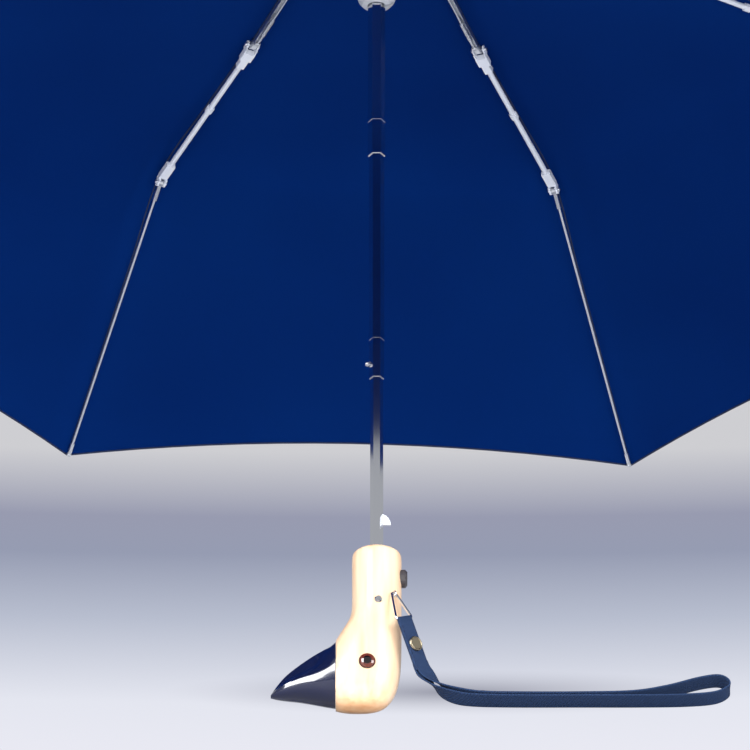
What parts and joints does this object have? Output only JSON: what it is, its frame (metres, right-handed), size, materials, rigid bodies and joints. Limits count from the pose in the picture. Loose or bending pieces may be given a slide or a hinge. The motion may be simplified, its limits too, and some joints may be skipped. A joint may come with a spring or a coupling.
{
  "type": "folding umbrella",
  "caption": "Compact folding umbrella, open, with a navy canopy on eight three-part ribs, a telescoping hexagonal shaft, and a duck-head maple handle with a wrist strap.",
  "frame": {"origin": "on the shaft's axis, at the level of the foot of the handle", "axes": "+Z along the shaft, from the handle to the crown; the beak points to -X"},
  "size_m": [0.9064, 0.9064, 0.6],
  "materials": {
    "maple": "satin varnish",
    "beak_lacquer": "gloss",
    "eye_glass": "gloss",
    "button_plastic": "matte",
    "chrome": "polished",
    "rib_steel": "satin",
    "joint_plastic": "matte",
    "runner_plastic": "matte",
    "canopy_cloth": "woven",
    "strap_webbing": "woven",
    "badge_brass": "satin"
  },
  "bodies": {
    "handle": {"handle_body": "maple", "beak": "beak_lacquer", "eye_left": "eye_glass", "eye_right": "eye_glass", "lower_tube": "chrome", "ring_staple": "chrome", "stud": "chrome"},
    "middle_shaft": {"middle_tube": "chrome", "tube_pin": "chrome"},
    "upper_shaft": {"upper_tube": "chrome", "crown": "runner_plastic", "top_cap": "chrome", "canopy": "canopy_cloth"},
    "runner_slider": {"runner": "runner_plastic"},
    "button": {"push_button": "button_plastic"},
    "catch": {"bottom_catch": "chrome"},
    "strap": {"strap_ring": "chrome", "strap_loop": "strap_webbing", "strap_tab": "strap_webbing", "snap_badge": "badge_brass"},
    "top_arm_1": {"top_rib_1": "rib_steel"},
    "rod_1": {"control_rod_1": "rib_steel"},
    "middle_arm_1": {"middle_rib_1": "joint_plastic"},
    "end_arm_1": {"end_rib_1": "rib_steel"},
    "strut_1": {"stretcher_1": "rib_steel"},
    "top_arm_2": {"top_rib_2": "rib_steel"},
    "rod_2": {"control_rod_2": "rib_steel"},
    "middle_arm_2": {"middle_rib_2": "joint_plastic"},
    "end_arm_2": {"end_rib_2": "rib_steel"},
    "strut_2": {"stretcher_2": "rib_steel"},
    "top_arm_3": {"top_rib_3": "rib_steel"},
    "rod_3": {"control_rod_3": "rib_steel"},
    "middle_arm_3": {"middle_rib_3": "joint_plastic"},
    "end_arm_3": {"end_rib_3": "rib_steel"},
    "strut_3": {"stretcher_3": "rib_steel"},
    "top_arm_4": {"top_rib_4": "rib_steel"},
    "rod_4": {"control_rod_4": "rib_steel"},
    "middle_arm_4": {"middle_rib_4": "joint_plastic"},
    "end_arm_4": {"end_rib_4": "rib_steel"},
    "strut_4": {"stretcher_4": "rib_steel"},
    "top_arm_5": {"top_rib_5": "rib_steel"},
    "rod_5": {"control_rod_5": "rib_steel"},
    "middle_arm_5": {"middle_rib_5": "joint_plastic"},
    "end_arm_5": {"end_rib_5": "rib_steel"},
    "strut_5": {"stretcher_5": "rib_steel"},
    "top_arm_6": {"top_rib_6": "rib_steel"},
    "rod_6": {"control_rod_6": "rib_steel"},
    "middle_arm_6": {"middle_rib_6": "joint_plastic"},
    "end_arm_6": {"end_rib_6": "rib_steel"},
    "strut_6": {"stretcher_6": "rib_steel"},
    "top_arm_7": {"top_rib_7": "rib_steel"},
    "rod_7": {"control_rod_7": "rib_steel"},
    "middle_arm_7": {"middle_rib_7": "joint_plastic"},
    "end_arm_7": {"end_rib_7": "rib_steel"},
    "strut_7": {"stretcher_7": "rib_steel"},
    "top_arm_8": {"top_rib_8": "rib_steel"},
    "rod_8": {"control_rod_8": "rib_steel"},
    "middle_arm_8": {"middle_rib_8": "joint_plastic"},
    "end_arm_8": {"end_rib_8": "rib_steel"},
    "strut_8": {"stretcher_8": "rib_steel"}
  },
  "joints": [
    {"name": "middle_slide", "type": "slide", "parent": "handle", "child": "middle_shaft", "axis": [0, 0, -1], "range_m": [0, 0.086]},
    {"name": "upper_slide", "type": "slide", "parent": "middle_shaft", "child": "upper_shaft", "axis": [0, 0, -1], "range_m": [0, 0.116]},
    {"name": "button_press", "type": "slide", "parent": "handle", "child": "button", "axis": [-1, 0, 0], "range_m": [0, 0.0025], "stiffness_N_per_m": 800},
    {"name": "catch_press", "type": "slide", "parent": "handle", "child": "catch", "axis": [-1, 0, 0], "range_m": [0, 0.004], "stiffness_N_per_m": 400},
    {"name": "ring_swing", "type": "hinge", "parent": "handle", "child": "strap", "pos_m": [0.0098, -0.0122, 0.0673], "axis": [0.7796, 0.6262, 0], "range_deg": [-3, 12], "deforming": ["strap_loop"]},
    {"name": "rib_1_fold", "type": "hinge", "parent": "upper_shaft", "child": "top_arm_1", "pos_m": [0.01135, 0.00524, 0.578], "axis": [-0.4195, 0.9078, 0], "range_deg": [0, 78.9]},
    {"name": "knee_1", "type": "hinge", "parent": "top_arm_1", "child": "middle_arm_1", "pos_m": [0.16969, 0.07841, 0.54507], "axis": [-0.4195, 0.9078, 0], "range_deg": [-176.3, 0]},
    {"name": "elbow_1", "type": "hinge", "parent": "middle_arm_1", "child": "end_arm_1", "pos_m": [0.30149, 0.13931, 0.52158], "axis": [-0.4195, 0.9078, 0], "range_deg": [0, 146.4]},
    {"name": "rod_1_swing", "type": "hinge", "parent": "top_arm_1", "child": "rod_1", "pos_m": [0.1626, 0.07513, 0.54175], "axis": [-0.4195, 0.9078, 0], "range_deg": [0, 2.1]},
    {"name": "rib_2_fold", "type": "hinge", "parent": "upper_shaft", "child": "top_arm_2", "pos_m": [0.00432, 0.01173, 0.578], "axis": [-0.9385, 0.3453, 0], "range_deg": [0, 78.9]},
    {"name": "knee_2", "type": "hinge", "parent": "top_arm_2", "child": "middle_arm_2", "pos_m": [0.06455, 0.17544, 0.54507], "axis": [-0.9385, 0.3453, 0], "range_deg": [-176.3, 0]},
    {"name": "elbow_2", "type": "hinge", "parent": "middle_arm_2", "child": "end_arm_2", "pos_m": [0.11468, 0.31169, 0.52158], "axis": [-0.9385, 0.3453, 0], "range_deg": [0, 146.4]},
    {"name": "rod_2_swing", "type": "hinge", "parent": "top_arm_2", "child": "rod_2", "pos_m": [0.06185, 0.16811, 0.54175], "axis": [-0.9385, 0.3453, 0], "range_deg": [0, 2.1]},
    {"name": "rib_3_fold", "type": "hinge", "parent": "upper_shaft", "child": "top_arm_3", "pos_m": [-0.00524, 0.01135, 0.578], "axis": [-0.9078, -0.4195, 0], "range_deg": [0, 78.9]},
    {"name": "knee_3", "type": "hinge", "parent": "top_arm_3", "child": "middle_arm_3", "pos_m": [-0.07841, 0.16969, 0.54507], "axis": [-0.9078, -0.4195, 0], "range_deg": [-176.3, 0]},
    {"name": "elbow_3", "type": "hinge", "parent": "middle_arm_3", "child": "end_arm_3", "pos_m": [-0.13931, 0.30149, 0.52158], "axis": [-0.9078, -0.4195, 0], "range_deg": [0, 146.4]},
    {"name": "rod_3_swing", "type": "hinge", "parent": "top_arm_3", "child": "rod_3", "pos_m": [-0.07513, 0.1626, 0.54175], "axis": [-0.9078, -0.4195, 0], "range_deg": [0, 2.1]},
    {"name": "rib_4_fold", "type": "hinge", "parent": "upper_shaft", "child": "top_arm_4", "pos_m": [-0.01173, 0.00432, 0.578], "axis": [-0.3453, -0.9385, 0], "range_deg": [0, 78.9]},
    {"name": "knee_4", "type": "hinge", "parent": "top_arm_4", "child": "middle_arm_4", "pos_m": [-0.17544, 0.06455, 0.54507], "axis": [-0.3453, -0.9385, 0], "range_deg": [-176.3, 0]},
    {"name": "elbow_4", "type": "hinge", "parent": "middle_arm_4", "child": "end_arm_4", "pos_m": [-0.31169, 0.11468, 0.52158], "axis": [-0.3453, -0.9385, 0], "range_deg": [0, 146.4]},
    {"name": "rod_4_swing", "type": "hinge", "parent": "top_arm_4", "child": "rod_4", "pos_m": [-0.16811, 0.06185, 0.54175], "axis": [-0.3453, -0.9385, 0], "range_deg": [0, 2.1]},
    {"name": "rib_5_fold", "type": "hinge", "parent": "upper_shaft", "child": "top_arm_5", "pos_m": [-0.01135, -0.00524, 0.578], "axis": [0.4195, -0.9078, 0], "range_deg": [0, 78.9]},
    {"name": "knee_5", "type": "hinge", "parent": "top_arm_5", "child": "middle_arm_5", "pos_m": [-0.16969, -0.07841, 0.54507], "axis": [0.4195, -0.9078, 0], "range_deg": [-176.3, 0]},
    {"name": "elbow_5", "type": "hinge", "parent": "middle_arm_5", "child": "end_arm_5", "pos_m": [-0.30149, -0.13931, 0.52158], "axis": [0.4195, -0.9078, 0], "range_deg": [0, 146.4]},
    {"name": "rod_5_swing", "type": "hinge", "parent": "top_arm_5", "child": "rod_5", "pos_m": [-0.1626, -0.07513, 0.54175], "axis": [0.4195, -0.9078, 0], "range_deg": [0, 2.1]},
    {"name": "rib_6_fold", "type": "hinge", "parent": "upper_shaft", "child": "top_arm_6", "pos_m": [-0.00432, -0.01173, 0.578], "axis": [0.9385, -0.3453, 0], "range_deg": [0, 78.9]},
    {"name": "knee_6", "type": "hinge", "parent": "top_arm_6", "child": "middle_arm_6", "pos_m": [-0.06455, -0.17544, 0.54507], "axis": [0.9385, -0.3453, 0], "range_deg": [-176.3, 0]},
    {"name": "elbow_6", "type": "hinge", "parent": "middle_arm_6", "child": "end_arm_6", "pos_m": [-0.11468, -0.31169, 0.52158], "axis": [0.9385, -0.3453, 0], "range_deg": [0, 146.4]},
    {"name": "rod_6_swing", "type": "hinge", "parent": "top_arm_6", "child": "rod_6", "pos_m": [-0.06185, -0.16811, 0.54175], "axis": [0.9385, -0.3453, 0], "range_deg": [0, 2.1]},
    {"name": "rib_7_fold", "type": "hinge", "parent": "upper_shaft", "child": "top_arm_7", "pos_m": [0.00524, -0.01135, 0.578], "axis": [0.9078, 0.4195, 0], "range_deg": [0, 78.9]},
    {"name": "knee_7", "type": "hinge", "parent": "top_arm_7", "child": "middle_arm_7", "pos_m": [0.07841, -0.16969, 0.54507], "axis": [0.9078, 0.4195, 0], "range_deg": [-176.3, 0]},
    {"name": "elbow_7", "type": "hinge", "parent": "middle_arm_7", "child": "end_arm_7", "pos_m": [0.13931, -0.30149, 0.52158], "axis": [0.9078, 0.4195, 0], "range_deg": [0, 146.4]},
    {"name": "rod_7_swing", "type": "hinge", "parent": "top_arm_7", "child": "rod_7", "pos_m": [0.07513, -0.1626, 0.54175], "axis": [0.9078, 0.4195, 0], "range_deg": [0, 2.1]},
    {"name": "rib_8_fold", "type": "hinge", "parent": "upper_shaft", "child": "top_arm_8", "pos_m": [0.01173, -0.00432, 0.578], "axis": [0.3453, 0.9385, 0], "range_deg": [0, 78.9]},
    {"name": "knee_8", "type": "hinge", "parent": "top_arm_8", "child": "middle_arm_8", "pos_m": [0.17544, -0.06455, 0.54507], "axis": [0.3453, 0.9385, 0], "range_deg": [-176.3, 0]},
    {"name": "elbow_8", "type": "hinge", "parent": "middle_arm_8", "child": "end_arm_8", "pos_m": [0.31169, -0.11468, 0.52158], "axis": [0.3453, 0.9385, 0], "range_deg": [0, 146.4]},
    {"name": "rod_8_swing", "type": "hinge", "parent": "top_arm_8", "child": "rod_8", "pos_m": [0.16811, -0.06185, 0.54175], "axis": [0.3453, 0.9385, 0], "range_deg": [0, 2.1]},
    {"name": "runner_slide", "type": "slide", "parent": "upper_shaft", "child": "runner_slider", "axis": [0, 0, -1], "range_m": [0, 0.12668], "deforming": ["canopy"]},
    {"name": "strut_1_swing", "type": "hinge", "parent": "runner_slider", "child": "strut_1", "pos_m": [0.01135, 0.00524, 0.516], "axis": [-0.4195, 0.9078, 0], "range_deg": [-63.68, 0]},
    {"name": "strut_2_swing", "type": "hinge", "parent": "runner_slider", "child": "strut_2", "pos_m": [0.00432, 0.01173, 0.516], "axis": [-0.9385, 0.3453, 0], "range_deg": [-63.68, 0]},
    {"name": "strut_3_swing", "type": "hinge", "parent": "runner_slider", "child": "strut_3", "pos_m": [-0.00524, 0.01135, 0.516], "axis": [-0.9078, -0.4195, 0], "range_deg": [-63.68, 0]},
    {"name": "strut_4_swing", "type": "hinge", "parent": "runner_slider", "child": "strut_4", "pos_m": [-0.01173, 0.00432, 0.516], "axis": [-0.3453, -0.9385, 0], "range_deg": [-63.68, 0]},
    {"name": "strut_5_swing", "type": "hinge", "parent": "runner_slider", "child": "strut_5", "pos_m": [-0.01135, -0.00524, 0.516], "axis": [0.4195, -0.9078, 0], "range_deg": [-63.68, 0]},
    {"name": "strut_6_swing", "type": "hinge", "parent": "runner_slider", "child": "strut_6", "pos_m": [-0.00432, -0.01173, 0.516], "axis": [0.9385, -0.3453, 0], "range_deg": [-63.68, 0]},
    {"name": "strut_7_swing", "type": "hinge", "parent": "runner_slider", "child": "strut_7", "pos_m": [0.00524, -0.01135, 0.516], "axis": [0.9078, 0.4195, 0], "range_deg": [-63.68, 0]},
    {"name": "strut_8_swing", "type": "hinge", "parent": "runner_slider", "child": "strut_8", "pos_m": [0.01173, -0.00432, 0.516], "axis": [0.3453, 0.9385, 0], "range_deg": [-63.68, 0]}
  ],
  "couplings": [
    {"joint": "rib_1_fold", "follows": "runner_slide", "rad_per_m": 10.829},
    {"joint": "knee_1", "follows": "runner_slide", "rad_per_m": -24.248},
    {"joint": "elbow_1", "follows": "runner_slide", "rad_per_m": 20.129},
    {"joint": "rod_1_swing", "follows": "runner_slide", "rad_per_m": 0.28315},
    {"joint": "rib_2_fold", "follows": "runner_slide", "rad_per_m": 10.829},
    {"joint": "knee_2", "follows": "runner_slide", "rad_per_m": -24.248},
    {"joint": "elbow_2", "follows": "runner_slide", "rad_per_m": 20.129},
    {"joint": "rod_2_swing", "follows": "runner_slide", "rad_per_m": 0.28315},
    {"joint": "rib_3_fold", "follows": "runner_slide", "rad_per_m": 10.829},
    {"joint": "knee_3", "follows": "runner_slide", "rad_per_m": -24.248},
    {"joint": "elbow_3", "follows": "runner_slide", "rad_per_m": 20.129},
    {"joint": "rod_3_swing", "follows": "runner_slide", "rad_per_m": 0.28315},
    {"joint": "rib_4_fold", "follows": "runner_slide", "rad_per_m": 10.829},
    {"joint": "knee_4", "follows": "runner_slide", "rad_per_m": -24.248},
    {"joint": "elbow_4", "follows": "runner_slide", "rad_per_m": 20.129},
    {"joint": "rod_4_swing", "follows": "runner_slide", "rad_per_m": 0.28315},
    {"joint": "rib_5_fold", "follows": "runner_slide", "rad_per_m": 10.829},
    {"joint": "knee_5", "follows": "runner_slide", "rad_per_m": -24.248},
    {"joint": "elbow_5", "follows": "runner_slide", "rad_per_m": 20.129},
    {"joint": "rod_5_swing", "follows": "runner_slide", "rad_per_m": 0.28315},
    {"joint": "rib_6_fold", "follows": "runner_slide", "rad_per_m": 10.829},
    {"joint": "knee_6", "follows": "runner_slide", "rad_per_m": -24.248},
    {"joint": "elbow_6", "follows": "runner_slide", "rad_per_m": 20.129},
    {"joint": "rod_6_swing", "follows": "runner_slide", "rad_per_m": 0.28315},
    {"joint": "rib_7_fold", "follows": "runner_slide", "rad_per_m": 10.829},
    {"joint": "knee_7", "follows": "runner_slide", "rad_per_m": -24.248},
    {"joint": "elbow_7", "follows": "runner_slide", "rad_per_m": 20.129},
    {"joint": "rod_7_swing", "follows": "runner_slide", "rad_per_m": 0.28315},
    {"joint": "rib_8_fold", "follows": "runner_slide", "rad_per_m": 10.829},
    {"joint": "knee_8", "follows": "runner_slide", "rad_per_m": -24.248},
    {"joint": "elbow_8", "follows": "runner_slide", "rad_per_m": 20.129},
    {"joint": "rod_8_swing", "follows": "runner_slide", "rad_per_m": 0.28315},
    {"joint": "strut_1_swing", "follows": "runner_slide", "rad_per_m": -8.7325},
    {"joint": "strut_2_swing", "follows": "runner_slide", "rad_per_m": -8.7325},
    {"joint": "strut_3_swing", "follows": "runner_slide", "rad_per_m": -8.7325},
    {"joint": "strut_4_swing", "follows": "runner_slide", "rad_per_m": -8.7325},
    {"joint": "strut_5_swing", "follows": "runner_slide", "rad_per_m": -8.7325},
    {"joint": "strut_6_swing", "follows": "runner_slide", "rad_per_m": -8.7325},
    {"joint": "strut_7_swing", "follows": "runner_slide", "rad_per_m": -8.7325},
    {"joint": "strut_8_swing", "follows": "runner_slide", "rad_per_m": -8.7325}
  ]
}
